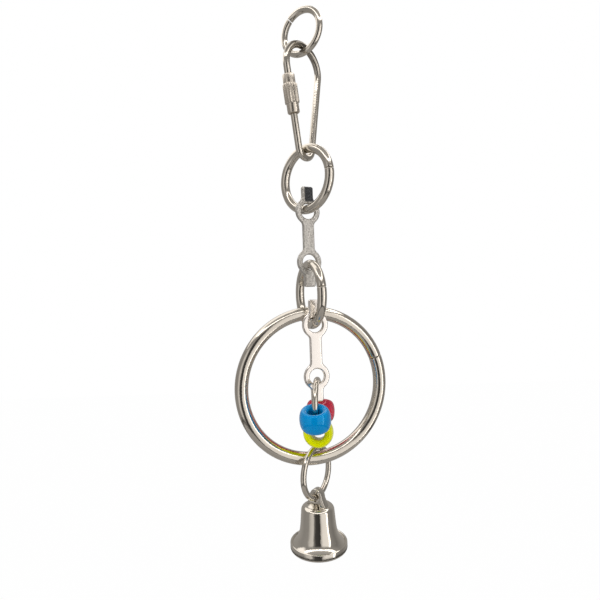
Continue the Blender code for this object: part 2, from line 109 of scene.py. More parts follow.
# Bell, with the loop on its crown
BELL_WIDTH = 0.0166
BELL_SHOULDER = 0.0097
BELL_HEIGHT = 0.0124
BELL_WALL = 0.0010
BELL_CROWN = 0.0012
BELL_SHOULDER_ROUND = 0.0014
BELL_LIP = 0.0006
BELL_LIP_END = math.radians(-150)
BELL_BAND = 0.0021
BELL_BAND_EDGE = 0.00035
BELL_BAND_START = math.radians(160)
BELL_TAPER = 0.28
BELL_FLARE = 6
BOSS_RISE = 0.0007
LOOP_HOLE = 0.0012
LOOP_RIM = 0.0013
LOOP_THICKNESS = 0.0024
LOOP_BASE = 0.0062
LOOP_FLOOR = 0.0011
LOOP_EDGE = 0.0003
LOOP_SLIM = 0.82

# Clapper and the staple that carries it
STAPLE_WIRE = 0.0007
STAPLE_BEND = 0.0011
STAPLE_END_ROUND = 0.00007
CLAPPER_WIRE = 0.0007
CLAPPER_DROP = 0.0041
CLAPPER_BALL = 0.0034
SEAT_GAP = 0.0003

# Butt joints of the bent rings, in degrees up from each ring's own heading
HANGING_SEAM = 130
UPPER_SEAM = 8
MIDDLE_SEAM = 12
LARGE_SEAM = 20
BEAD_RING_SEAM = 60
BELL_RING_SEAM = 75

# Nickel plate: two shades in patches, its least and most roughness, and how high pits and ripples stand
BRIGHT_PLATE = {
    "light": (0.79, 0.755, 0.69, 1),
    "dark": (0.65, 0.615, 0.555, 1),
    "gloss": (0.05, 0.13),
    "pits": 0.10,
    "ripple": 0.5,
}
SLEEVE_PLATE = {
    "light": (0.76, 0.71, 0.64, 1),
    "dark": (0.68, 0.63, 0.56, 1),
    "gloss": (0.24, 0.32),
    "pits": 0.0,
    "ripple": 0.1,
    "patch_scale": 500,
}
SATIN_PLATE = {
    "light": (0.80, 0.79, 0.76, 1),
    "dark": (0.43, 0.42, 0.40, 1),
    "gloss": (0.24, 0.55),
    "pits": 1.0,
    "ripple": 0.3,
    "patch_scale": 2300,
    "contrast": 2.5,
}
PALE_PLATE = {
    "light": (1.0, 0.97, 0.94, 1),
    "dark": (0.97, 0.93, 0.90, 1),
    "gloss": (0.10, 0.20),
    "pits": 0.15,
    "ripple": 0.2,
}
BELL_PLATE = {
    "light": (0.80, 0.77, 0.71, 1),
    "dark": (0.68, 0.65, 0.59, 1),
    "gloss": (0.03, 0.08),
    "pits": 0.05,
    "ripple": 0.5,
}
PATCH_SCALE = 260
PIT_SCALE = 2600
RIPPLE_SCALE = 190
PLATE_DENT_STRENGTH = 0.5
PLATE_DENT_DEPTH = 0.0004

# Painted dark reflections in the plate: the front of one strap's top stub, and the head of the quick link
STUB_REFLECTION_COLOUR = (0.075, 0.08, 0.09, 1)
STUB_BRIGHT_EDGE = (-0.00115, -0.00085)
STUB_REACH = 0.0013
STUB_FADE = 0.0006
HEAD_REFLECTION_COLOUR = (0.16, 0.148, 0.13, 1)
HEAD_REACH = 0.0085

# Bead plastic: shades in clouds, highlight tint, colour and share of the inner glow, and share let through
BLUE_PLASTIC = {
    "light": (0.0, 0.25, 0.57, 1),
    "dark": (0.0, 0.20, 0.50, 1),
    "sheen": (0.0, 0.65, 1.0, 1),
    "glow": (0.2, 0.5, 1.0),
    "soft": 0.1,
    "clear": 0.0,
}
YELLOW_PLASTIC = {
    "light": (0.76, 0.80, 0.0, 1),
    "dark": (0.68, 0.72, 0.0, 1),
    "sheen": (1.0, 0.97, 0.0, 1),
    "glow": (1.0, 1.0, 0.1),
    "soft": 0.3,
    "clear": 0.0,
}
RED_PLASTIC = {
    "light": (0.70, 0.04, 0.09, 1),
    "dark": (0.54, 0.015, 0.055, 1),
    "sheen": (1.0, 0.6, 0.65, 1),
    "glow": (1.0, 0.1, 0.1),
    "soft": 0.3,
    "clear": 0.45,
}
CLOUD_SCALE = 330
CLOUD_STRETCH = (1, 1, 1.6)
GRAIN_SCALE = 2600
GRAIN_HEIGHT = 0.05
SWELL_SCALE = 420
PLASTIC_ROUGHNESS = 0.03
PLASTIC_GRAIN_ROUGHNESS = 0.05
PLASTIC_IOR = 1.45
PLASTIC_SHINE = 1.0
PLASTIC_GLOW_REACH = 0.0015
PLASTIC_DENT_STRENGTH = 0.14
PLASTIC_DENT_DEPTH = 0.0003
SKIN_WEIGHT = 0.3
SKIN_ROUGHNESS = 0.04

# Fineness of the meshes
WIRE_SIDES = 32
WIRE_END_STEPS = 3
RING_STEPS = 144
LARGE_RING_STEPS = 240
BEND_STEPS = 48
TURN_STEPS = 96
SMALL_TURN_STEPS = 48
ARC_STEPS = 10
FLUTE_POINTS = 12
RIM_STEPS = 4
MERGE_GAP = 1e-6
SLIVER = 1e-7

# Edges sharper than these angles in degrees stay sharp in the shading
CREASE = 40
FLUTE_CREASE = 30

# Camera of the photograph
CAMERA_PLACE = Vector((-0.00308, -0.131, -0.08337))
CAMERA_ROLL = math.radians(1.97)
CAMERA_LENS = 26.96
CAMERA_NEAR = 0.005

# White surroundings, and soft lamps given by name, direction from the toy and power
WHITE = (1, 1, 1, 1)
WORLD_LIGHT = 0.7
FLOOR_DROP = 0.55
FLOOR_SIZE = 6.0
FLOOR_COLOUR = (0.9, 0.9, 0.9, 1)
FLOOR_WHITE = 0.985
LAMP_DISTANCE = 0.6
LAMP_SIZE = 0.5
LAMPS = (
    ("key_lamp", (-0.7, -1.0, 0.9), 1.8),
    ("fill_lamp", (1.0, -0.8, 0.3), 0.8),
    ("rim_lamp", (0.3, 1.0, 0.8), 0.8),
)

# Reflection tent: cards by bearing in degrees, roof and ground by height in radii, each with a brightness
TENT_RADIUS = 0.6
TENT_SEGMENTS = 64
TENT_RINGS = 32
TENT_FOLDS = 2.2
TENT_FOLD_DEPTH = 0.03
TENT_STRENGTH = 4.0
TENT_WARMTH = 0.05
TENT_CARDS = (
    (-180, 0.38),
    (-130, 0.36),
    (-100, 0.30),
    (-66, 0.32),
    (-52, 0.66),
    (-34, 0.76),
    (-27, 0.24),
    (-19, 0.06),
    (8, 0.04),
    (12, 0.55),
    (22, 0.94),
    (48, 1.0),
    (54, 1.05),
    (56, 3.0),
    (61, 3.0),
    (65, 0.29),
    (100, 0.22),
    (135, 0.36),
    (180, 0.38),
)
TENT_ROOF = ((0.40, 0.26), (0.69, 0.34), (0.72, 3.0), (0.78, 3.0), (0.81, 0.50), (1.0, 0.36))
ROOF_EDGE = (0.40, 0.58)
TENT_GROUND = ((0.58, 0.06), (0.63, 0.06), (0.68, 0.42), (1.0, 0.34))
GROUND_EDGE = (0.55, 0.60)

# Pale box in the roof's left side: brightness, lower edge, and front edge in turns from the front
LEFT_BOX = 1.3
LEFT_BOX_EDGE = (0.44, 0.52)
LEFT_BOX_FRONT = (0.21, 0.26)


def on_circle(centre, radius, angle):
    return (centre[0] + radius * math.cos(angle), centre[1] + radius * math.sin(angle))


def arc(centre, radius, start, end, steps):
    """Points on a circle from one angle to another, both ends included."""
    return [on_circle(centre, radius, start + (end - start) * n / steps) for n in range(steps + 1)]


def turn_of(joint):
    """How far the direction of a level joint axis is turned from +X."""
    axis = JOINTS[joint]["axis"]
    return math.atan2(axis[1], axis[0])


def place_of(joint):
    return Vector(JOINTS[joint]["pos_m"])


def middle_of(node):
    low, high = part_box(node)
    return (low + high) / 2


def upright(place, turn):
    """A piece's place from its own frame, with its X turned about the plumb line."""
    return Matrix.Translation(place) @ Matrix.Rotation(turn, 4, "Z")


# Modelling by hand


def deselect():
    bpy.ops.object.select_all(action="DESELECT")


def edit(select="SELECT"):
    bpy.ops.object.mode_set(mode="EDIT")
    bpy.ops.mesh.select_all(action=select)


def leave_edit():
    bpy.ops.object.mode_set(mode="OBJECT")


def new_disc(name, sides, radius, place, lean=0.0):
    """A filled circle that faces +Z, then leans about Y: the end of a wire."""
    deselect()
    bpy.ops.mesh.primitive_circle_add(
        vertices=sides, radius=radius, fill_type="NGON", location=place, rotation=(0, lean, 0)
    )
    disc = bpy.context.object
    disc.name = name
    bpy.ops.object.transform_apply(location=True, rotation=True, scale=True)
    return disc


def sweep(angle, centre, steps):
    """Bends the selected wire end round a centre, from its own +X up towards +Z."""
    bpy.ops.mesh.spin(steps=steps, angle=angle, center=(centre[0], 0, centre[1]), axis=(0, 1, 0))


def pull(start, end):
    """Draws the selected wire end straight from one point (x, z) to another."""
    step = (end[0] - start[0], 0, end[1] - start[1])
    bpy.ops.mesh.extrude_region_move(TRANSFORM_OT_translate={"value": step})


def close_wire(wire_round):
    """Removes the walls inside a bent wire and rounds its two ends, the only faces with many corners."""
    bpy.ops.mesh.select_all(action="DESELECT")
    bpy.ops.mesh.select_interior_faces()
    bpy.ops.mesh.delete(type="ONLY_FACE")
    leave_edit()
    for face in bpy.context.object.data.polygons:
        face.select = len(face.vertices) == WIRE_SIDES
    bpy.ops.object.mode_set(mode="EDIT")
    bpy.ops.mesh.select_mode(type="FACE")
    bpy.ops.mesh.region_to_loop()
    bpy.ops.mesh.bevel(offset=wire_round, segments=WIRE_END_STEPS, affect="EDGES")
    bpy.ops.mesh.select_mode(type="VERT")
    leave_edit()
    face_outwards(bpy.context.object)


def signed_volume(mesh):
    """Volume of a closed mesh, below zero where its faces point inwards."""
    mesh.calc_loop_triangles()
    total = 0.0
    for triangle in mesh.loop_triangles:
        one, two, three = (mesh.vertices[index].co for index in triangle.vertices)
        total += one.dot(two.cross(three)) / 6
    return total


def face_outwards(piece):
    """Turns the faces of a closed piece outwards."""
    edit()
    bpy.ops.mesh.normals_make_consistent(inside=False)
    leave_edit()
    if signed_volume(piece.data) < 0:
        edit()
        bpy.ops.mesh.flip_normals()
        leave_edit()


def new_section(name, points):
    """A circle whose vertices are moved onto the points (x, z) of a section or an outline."""
    deselect()
    bpy.ops.mesh.primitive_circle_add(vertices=len(points), radius=1)
    section = bpy.context.object
    section.name = name
    for vert, (x, z) in zip(section.data.vertices, points):
        vert.co = (x, 0, z)
    return section


def turned(name, profile, steps=TURN_STEPS):
    """A body turned about Z from a closed section of points (radius, z)."""
    body = new_section(name, profile)
    edit()
    bpy.ops.mesh.spin(steps=steps, angle=2 * math.pi, center=(0, 0, 0), axis=(0, 0, 1))
    bpy.ops.mesh.select_all(action="SELECT")
    bpy.ops.mesh.remove_doubles(threshold=MERGE_GAP)
    bpy.ops.mesh.dissolve_degenerate(threshold=SLIVER)
    bpy.ops.mesh.delete_loose(use_verts=True, use_edges=True, use_faces=False)
    leave_edit()
    face_outwards(body)
    return body


def round_rims(plate, side, edge):
    """Rounds the rims of a plate's front (-1) or back (1) face, which also adds to its thickness."""
    edit("DESELECT")
    bpy.ops.mesh.select_mode(type="FACE")
    leave_edit()
    for face in plate.data.polygons:
        face.select = round(face.normal.y) == side
    bpy.ops.object.mode_set(mode="EDIT")
    angles = [math.pi / 2 * n / RIM_STEPS for n in range(RIM_STEPS + 1)]
    for one, two in zip(angles, angles[1:]):
        inwards = edge * (math.cos(one) - math.cos(two))
        outwards = edge * (math.sin(two) - math.sin(one))
        bpy.ops.mesh.inset(thickness=inwards, depth=outwards)
    bpy.ops.mesh.select_mode(type="VERT")
    leave_edit()


def pressed_plate(name, outline, holes, thickness, edge):
    """A plate in the XZ plane from an outline and round holes (x, z, radius), its edges rounded."""
    core = thickness - 2 * edge
    plate = new_section(name, outline)
    bpy.ops.object.mode_set(mode="EDIT")
    for x, z, radius in holes:
        bpy.ops.mesh.primitive_circle_add(
            vertices=6 * ARC_STEPS, radius=radius, location=(x, 0, z), rotation=(math.pi / 2, 0, 0)
        )
    bpy.ops.mesh.select_all(action="SELECT")
    bpy.ops.mesh.fill(use_beauty=True)
    bpy.ops.transform.translate(value=(0, -core / 2, 0))
    bpy.ops.mesh.extrude_region_move(TRANSFORM_OT_translate={"value": (0, core, 0)})
    bpy.ops.mesh.select_all(action="SELECT")
    bpy.ops.mesh.normals_make_consistent(inside=False)
    bpy.ops.mesh.select_all(action="DESELECT")
    leave_edit()
    for side in (-1, 1):
        round_rims(plate, side, edge)
    face_outwards(plate)
    return plate


def fuse(body, tool):
    """Joins a closed tool to a closed body, which becomes one solid."""
    deselect()
    body.select_set(True)
    bpy.context.view_layer.objects.active = body
    union = body.modifiers.new("fuse", "BOOLEAN")
    union.operation = "UNION"
    union.solver = "MANIFOLD"
    union.object = tool
    bpy.ops.object.modifier_apply(modifier=union.name)
    bpy.data.objects.remove(tool, do_unlink=True)


def hand_over(piece, node, body, finish, place, crease=CREASE):
    """Puts a finished piece in its node's place, on its body and in its finish."""
    piece.data.transform(place)
    deselect()
    piece.select_set(True)
    bpy.context.view_layer.objects.active = piece
    bpy.ops.object.shade_smooth_by_angle(angle=math.radians(crease))
    piece.data.materials.clear()
    piece.data.materials.append(finish)
    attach(piece, body)
    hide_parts(node)


# Shader maths


class Value:
    """A socket in a finish, so that shader maths reads as arithmetic."""

    def __init__(self, finish, socket):
        self.finish = finish
        self.socket = socket

    def maths(self, operation, one, two):
        return self.finish.node("ShaderNodeMath", {"operation": operation}, {0: one, 1: two})

    def __add__(self, other):
        return self.maths("ADD", self, other)

    def __radd__(self, other):
        return self.maths("ADD", other, self)

    def __sub__(self, other):
        return self.maths("SUBTRACT", self, other)

    def __rsub__(self, other):
        return self.maths("SUBTRACT", other, self)

    def __mul__(self, other):
        return self.maths("MULTIPLY", self, other)

    def __rmul__(self, other):
        return self.maths("MULTIPLY", other, self)

    def __truediv__(self, other):
        return self.maths("DIVIDE", self, other)

    def __rtruediv__(self, other):
        return self.maths("DIVIDE", other, self)

    def larger(self, other):
        return self.maths("MAXIMUM", self, other)

    def smaller(self, other):
        return self.maths("MINIMUM", self, other)

    def bearing(self, ahead):
        """How far a direction with this step to the side is turned from straight ahead, in turns."""
        return self.maths("ARCTAN2", self, ahead) / (2 * math.pi)


class Finish:
    """A material's nodes, added one by one."""

    def __init__(self, tree):
        self.tree = tree
        tree.nodes.clear()

    def node(self, kind, settings=None, inputs=None, output=0):
        """Adds a node, sets it up, then gives its sockets their values or links."""
        made = self.tree.nodes.new(kind)
        for key, value in (settings or {}).items():
            if key == "stops":
                self.set_stops(made.color_ramp, value)
            else:
                setattr(made, key, value)
        for key, value in (inputs or {}).items():
            if isinstance(value, Value):
                self.tree.links.new(value.socket, made.inputs[key])
            else:
                made.inputs[key].default_value = value
        return Value(self, made.outputs[output]) if len(made.outputs) else made

    def set_stops(self, ramp, stops):
        while len(ramp.elements) < len(stops):
            ramp.elements.new(1.0)
        for element, (place, colour) in zip(ramp.elements, stops):
            element.position = place
            element.color = colour

    def place(self):
        """A point of the surface in the part's own frame."""
        return self.node("ShaderNodeTexCoord", output="Object")

    def axes(self, vector):
        """The three numbers of a vector."""
        return [self.node("ShaderNodeSeparateXYZ", inputs={0: vector}, output=axis) for axis in "XYZ"]

    def stretched(self, scale):
        return self.node("ShaderNodeMapping", inputs={"Vector": self.place(), "Scale": scale})

    def noise(self, vector, scale, detail=3.0, rough=0.55):
        return self.node(
            "ShaderNodeTexNoise",
            inputs={"Vector": vector, "Scale": scale, "Detail": detail, "Roughness": rough},
        )

    def blend(self, share, one, two):
        """A mix of two colours."""
        return self.node("ShaderNodeMix", {"data_type": "RGBA"}, {0: share, 6: one, 7: two}, output=2)

    def dents(self, height, strength, depth):
        return self.node(
            "ShaderNodeBump", inputs={"Height": height, "Strength": strength, "Distance": depth}
        )

    def surface(self, shader):
        self.node("ShaderNodeOutputMaterial", inputs={"Surface": shader})


def rising(value, edge):
    """A share that goes from nought to one between the two levels of an edge."""
    return ((value - edge[0]) / (edge[1] - edge[0])).larger(0).smaller(1)


def new_finish(name):
    made = bpy.data.materials.new(name)
    made.use_nodes = True
    return made, Finish(made.node_tree)


def painted_stub_reflection(look):
    """The share of painted dark reflection on the upper strap's top stub: its front, right of a bright
    edge.
    """
    own_place = look.node(
        "ShaderNodeMapping",
        {"vector_type": "TEXTURE"},
        {
            "Vector": look.place(),
            "Location": middle_of("upper_strap_link"),
            "Rotation": (0, 0, turn_of("middle_ring_swing")),
        },
    )
    across, ahead, up = look.axes(own_place)
    stub_z = STRAP_PITCH / 2 + EYE_HOLE + EYE_RIM - STUB_REACH
    on_stub = rising(up, (stub_z, stub_z + STUB_FADE))
    on_front = rising(-1 * ahead, (0, STRAP_THICKNESS / 2))
    return on_stub * on_front * rising(across, STUB_BRIGHT_EDGE)


def painted_head_reflection(look):
    """The share of painted dark reflection on the quick link's head, rising towards its top."""
    up = look.axes(look.place())[2]
    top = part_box("quick_link_body")[1].z
    return rising(up, (top - HEAD_REACH, top))


def plated(
    name, light, dark, gloss, pits, ripple, patch_scale=PATCH_SCALE, contrast=1, mark=None, mark_colour=None
):
    """Nickel plate: colour and gloss vary in patches, with fine pits and a slow ripple in the metal.

    A mark is a function that gives the share of another colour, here a painted dark reflection.
    """
    made, look = new_finish(name)
    patches = look.noise(look.place(), patch_scale)
    pitting = look.noise(look.place(), PIT_SCALE, detail=4.0)
    waves = look.noise(look.place(), RIPPLE_SCALE, detail=1.0)
    spread = 0.5 / contrast
    colour = look.blend(rising(patches, (0.5 - spread, 0.5 + spread)), light, dark)
    if mark:
        colour = look.blend(mark(look), colour, mark_colour)
    least, most = gloss
    shader = look.node(
        "ShaderNodeBsdfPrincipled",
        inputs={
            "Base Color": colour,
            "Metallic": 1.0,
            "Roughness": least + 2 * (most - least) * patches * pitting,
            "Normal": look.dents(pitting * pits + waves * ripple, PLATE_DENT_STRENGTH, PLATE_DENT_DEPTH),
        },
    )
    look.surface(shader)
    return made


def moulded(name, light, dark, sheen, glow, soft, clear):
    """Moulded plastic with faint flow clouds, a glossy skin and tiny handling dents."""
    made, look = new_finish(name)
    clouds = look.noise(look.stretched(CLOUD_STRETCH), CLOUD_SCALE, detail=2.0)
    grain = look.noise(look.place(), GRAIN_SCALE, detail=2.0)
    swells = look.noise(look.place(), SWELL_SCALE, detail=1.0)
    dents = look.dents(grain * GRAIN_HEIGHT + swells, PLASTIC_DENT_STRENGTH, PLASTIC_DENT_DEPTH)
    shader = look.node(
        "ShaderNodeBsdfPrincipled",
        inputs={
            "Base Color": look.blend(clouds, light, dark),
            "Roughness": PLASTIC_ROUGHNESS + PLASTIC_GRAIN_ROUGHNESS * grain,
            "IOR": PLASTIC_IOR,
            "Specular IOR Level": PLASTIC_SHINE,
            "Specular Tint": sheen,
            "Coat Weight": SKIN_WEIGHT,
            "Coat Roughness": SKIN_ROUGHNESS,
            "Transmission Weight": clear,
            "Subsurface Weight": soft,
            "Subsurface Radius": glow,
            "Subsurface Scale": PLASTIC_GLOW_REACH,
            "Normal": dents,
        },
    )
    look.surface(shader)
    return made


# Pieces


def bent_ring(node, joint, wire, seam, finish, steps=RING_STEPS):
    """A ring bent from wire, headed along a joint's axis, its two ends butted at a fine seam."""
    low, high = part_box(node)
    radius = (high.z - low.z) / 2 - wire / 2
    half_seam = SEAM_GAP / 2 / radius
    ring = new_disc(node + "_wire", WIRE_SIDES, wire / 2, (radius, 0, 0))
    edit()
    sweep(2 * math.pi - 2 * half_seam, (0, 0), steps)
    close_wire(WIRE_END_ROUND)
    seam_turn = Matrix.Rotation(-math.radians(seam) - half_seam, 4, "Y")
    place = upright(middle_of(node), turn_of(joint)) @ seam_turn
    hand_over(ring, node, node, finish, place)


def quick_link(finish):
    """The quick link's wire, from its lower end round the foot and head to the stub in the sleeve.

    Returns the lean of its two legs.
    """
    node = "quick_link_body"
    low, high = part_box(node)
    head_radius = (LINK_WIDTH - LINK_WIRE) / 2
    head = (0, high.z - LINK_WIRE / 2 - head_radius)
    foot = (0, low.z + LINK_WIRE / 2 + LINK_FOOT_RADIUS)
    lean = math.asin((head_radius - LINK_FOOT_RADIUS) / (head[1] - foot[1]))
    upper = Vector(on_circle(head, head_radius, math.pi + lean))
    lower = Vector(on_circle(foot, LINK_FOOT_RADIUS, math.pi + lean))
    down = (lower - upper).normalized()
    stub_end = upper + down * (LINK_BARE + LINK_STUB)
    rod_end = stub_end + down * LINK_OPENING
    start = (rod_end.x, 0, rod_end.y)
    wire = new_disc("quick_link_wire", WIRE_SIDES, LINK_WIRE / 2, start, math.pi - lean)
    edit()
    pull(rod_end, lower)
    sweep(math.pi - 2 * lean, foot, BEND_STEPS)
    pull(on_circle(foot, LINK_FOOT_RADIUS, -lean), on_circle(head, head_radius, -lean))
    sweep(math.pi + 2 * lean, head, 2 * BEND_STEPS)
    pull(upper, stub_end)
    close_wire(WIRE_END_ROUND)
    place = upright(Vector(), turn_of("upper_ring_swing"))
    hand_over(wire, node, "quick_link", finish, place)
    return lean


def sleeve(lean, finish):
    """The sleeve: a fluted nut between two plain collars."""
    node = "quick_link_sleeve"
    end = SLEEVE_LENGTH / 2
    collar = SLEEVE_COLLAR / 2
    rise = (SLEEVE_WIDTH - SLEEVE_COLLAR) / 2
    flute_end = end - SLEEVE_COLLAR_LENGTH
    bore = SLEEVE_BORE / 2
    upper_half = [
        (bore + SLEEVE_CHAMFER, end),
        (collar - SLEEVE_CHAMFER, end),
        (collar - SLEEVE_CHAMFER / 3, end - SLEEVE_CHAMFER / 3),
        (collar, end - SLEEVE_CHAMFER),
        (collar, flute_end + rise / 2),
        (collar, flute_end),
        (SLEEVE_WIDTH / 2 - rise / 4, flute_end - rise / 2),
        (SLEEVE_WIDTH / 2, flute_end - rise),
    ]
    section = upper_half + [(radius, -z) for radius, z in reversed(upper_half)]
    section += [(bore, SLEEVE_CHAMFER - end), (bore, end - SLEEVE_CHAMFER)]
    nut = turned("quick_link_nut", section, FLUTES * FLUTE_POINTS)
    for vert in nut.data.vertices:
        reach = math.hypot(vert.co.x, vert.co.y)
        if reach > collar + rise / 4 and abs(vert.co.z) < flute_end:
            wave = 0.5 + 0.5 * math.cos(FLUTES * math.atan2(vert.co.y, vert.co.x))
            groove = FLUTE_DEPTH * wave
            vert.co.x *= 1 - groove / reach
            vert.co.y *= 1 - groove / reach
    place = upright(middle_of(node), turn_of("upper_ring_swing")) @ Matrix.Rotation(-lean, 4, "Y")
    hand_over(nut, node, "sleeve", finish, place, FLUTE_CREASE)


def strap(node, body, joint, finish):
    """A flat strap along a joint's axis: two eyes on a neck, with a square stub past each eye."""
    eye = EYE_HOLE + EYE_RIM
    neck = STRAP_NECK / 2
    end = eye + STRAP_TAB
    reach = neck + STRAP_FILLET
    drop = math.sqrt((eye + STRAP_FILLET) ** 2 - reach**2)
    swing = math.atan2(drop, reach)
    upper = STRAP_PITCH / 2
    lower = -STRAP_PITCH / 2
    corner = (neck - STRAP_CORNER, upper + end - STRAP_CORNER)
    side = arc(corner, STRAP_CORNER, math.pi / 2, 0, ARC_STEPS)
    for z in (upper, lower):
        side += arc((reach, z + drop), STRAP_FILLET, math.pi, math.pi + swing, ARC_STEPS)
        side += arc((0, z), eye, swing, -swing, 2 * ARC_STEPS)[1:-1]
        side += arc((reach, z - drop), STRAP_FILLET, math.pi - swing, math.pi, ARC_STEPS)
    corner = (corner[0], -corner[1])
    side += arc(corner, STRAP_CORNER, 0, -math.pi / 2, ARC_STEPS)
    outline = side + [(-x, z) for x, z in reversed(side)]
    holes = [(0, upper, EYE_HOLE), (0, lower, EYE_HOLE)]
    plate = pressed_plate(node + "_plate", outline, holes, STRAP_THICKNESS, STRAP_EDGE)
    hand_over(plate, node, body, finish, upright(middle_of(node), turn_of(joint)))


def bead_section():
    """A bead's section as points (radius, z): a barrel outside, round mouths and a straight bore."""
    bore = BEAD_BORE / 2
    end = BEAD_LENGTH / 2
    crest = bore + BEAD_MOUTH
    bulge = BEAD_WIDTH / 2 - crest
    power = 2 / BEAD_FULLNESS
    steps = 4 * ARC_STEPS
    outer = []
    for n in range(1, steps):
        angle = math.pi / 2 - math.pi * n / steps
        rise = math.copysign(abs(math.sin(angle)) ** power, angle)
        outer.append((crest + bulge * math.cos(angle) ** power, end * rise))
    land = end - BEAD_MOUTH
    upper_mouth = arc((crest, land), BEAD_MOUTH, math.pi, math.pi / 2, ARC_STEPS)
    lower_mouth = arc((crest, -land), BEAD_MOUTH, -math.pi / 2, -math.pi, ARC_STEPS)
    return upper_mouth + outer + lower_mouth


def bead(node, finish):
    """A bead threaded on its ring, at the place round the ring where the part has it."""
    hub = place_of("blue_bead_travel")
    turn = turn_of("yellow_bead_spin")
    along = Vector((math.cos(turn), math.sin(turn), 0))
    offset = middle_of(node) - hub
    angle = math.atan2(offset.z, offset.dot(along))
    barrel = turned(node + "_barrel", bead_section())
    place = upright(middle_of(node), turn) @ Matrix.Rotation(-angle, 4, "Y")
    hand_over(barrel, node, node, finish, place)


def bell_section(crown_z):
    """The bell's wall as one closed section of points (radius, z), from the axis round the banded lip."""
    shoulder = BELL_SHOULDER / 2
    brim = BELL_WIDTH / 2
    rim_z = crown_z - BELL_HEIGHT
    flank_top = crown_z - BELL_SHOULDER_ROUND
    boss = LOOP_THICKNESS / 2 + BOSS_RISE
    bend = (shoulder - BELL_SHOULDER_ROUND, flank_top)
    band_edge = (brim - BELL_BAND_EDGE, rim_z + BELL_BAND - BELL_BAND_EDGE)
    flank_end = on_circle(band_edge, BELL_BAND_EDGE, BELL_BAND_START)
    lip = (brim - BELL_LIP, rim_z + BELL_LIP)
    ceiling = crown_z - BELL_CROWN
    levels = 4 * ARC_STEPS

    def flank(share, inset):
        flare = BELL_TAPER * share + (1 - BELL_TAPER) * share**BELL_FLARE
        radius = shoulder + (flank_end[0] - shoulder) * flare
        return (radius - inset, flank_top + (flank_end[1] - flank_top) * share)

    section = [(0, crown_z + BOSS_RISE), (boss, crown_z + BOSS_RISE), (LOOP_BASE / 2, crown_z)]
    section += arc(bend, BELL_SHOULDER_ROUND, math.pi / 2, 0, ARC_STEPS)
    section += [flank(n / levels, 0) for n in range(1, levels)]
    section += arc(band_edge, BELL_BAND_EDGE, BELL_BAND_START, 0, ARC_STEPS)
    section += arc(lip, BELL_LIP, 0, BELL_LIP_END, 2 * ARC_STEPS)
    section += [flank(n / levels, BELL_WALL) for n in range(levels - 2, 0, -1)]
    section += [(bend[0], ceiling), (0, ceiling)]
    return section


def bell(finish):
    """The bell with its cast loop, in a frame at the wire it hangs on. Returns the crown's underside."""
    hole_z = SMALL_WIRE / 2 + SEAT_GAP - LOOP_HOLE
    crown_z = hole_z - LOOP_HOLE - LOOP_FLOOR
    shell = turned("bell_cup", bell_section(crown_z))
    foot = LOOP_BASE / 2
    root = crown_z - BELL_CROWN / 2
    top = arc((0, hole_z), LOOP_HOLE + LOOP_RIM, 0, math.pi, 4 * ARC_STEPS)
    outline = [(x * LOOP_SLIM, z) for x, z in top]
    outline += [(-foot, crown_z), (-foot, root), (foot, root), (foot, crown_z)]
    loop = pressed_plate("bell_loop", outline, [(0, hole_z, LOOP_HOLE)], LOOP_THICKNESS, LOOP_EDGE)
    loop.data.transform(Matrix.Rotation(math.pi / 2, 4, "Z"))
    fuse(shell, loop)
    place = upright(place_of("bell_swing"), turn_of("bell_swing"))
    hand_over(shell, "bell_shell", "bell", finish, place)
    return crown_z - BELL_CROWN


def staple(ceiling, finish):
    """The wire staple under the crown that carries the clapper."""
    top = ceiling - SEAT_GAP
    pivot_z = (place_of("clapper_swing") - place_of("bell_swing")).z
    bend = (0, pivot_z + STAPLE_BEND)
    wire = new_disc("staple_wire", WIRE_SIDES, STAPLE_WIRE / 2, (-STAPLE_BEND, 0, top))
    edit()
    pull((-STAPLE_BEND, top), (-STAPLE_BEND, bend[1]))
    sweep(math.pi, bend, BEND_STEPS)
    pull((STAPLE_BEND, bend[1]), (STAPLE_BEND, top))
    close_wire(STAPLE_END_ROUND)
    place = upright(place_of("bell_swing"), turn_of("bell_swing"))
    hand_over(wire, "clapper_staple", "bell", finish, place)


def clapper(finish):
    """The clapper: a wire eye, a short stem and a ball, in a frame at the staple's bend."""
    eye = STAPLE_WIRE / 2 + SEAT_GAP + CLAPPER_WIRE / 2
    stem = CLAPPER_WIRE / 2
    ball = CLAPPER_BALL / 2
    meet = math.asin(stem / ball)
    section = [(0, -eye), (stem, -eye)]
    section += arc((0, -CLAPPER_DROP), ball, math.pi / 2 - meet, -math.pi / 2, 3 * ARC_STEPS)[:-1]
    section.append((0, -CLAPPER_DROP - ball))
    drop = turned("clapper_drop", section, SMALL_TURN_STEPS)
    rim = arc((eye, 0), CLAPPER_WIRE / 2, 0, 2 * math.pi, 2 * ARC_STEPS)[:-1]
    loop = turned("clapper_loop", rim, SMALL_TURN_STEPS)
    loop.data.transform(Matrix.Rotation(math.pi / 2, 4, "Y"))
    fuse(drop, loop)
    place = upright(place_of("clapper_swing"), turn_of("clapper_swing"))
    hand_over(drop, "bell_clapper", "clapper", finish, place)


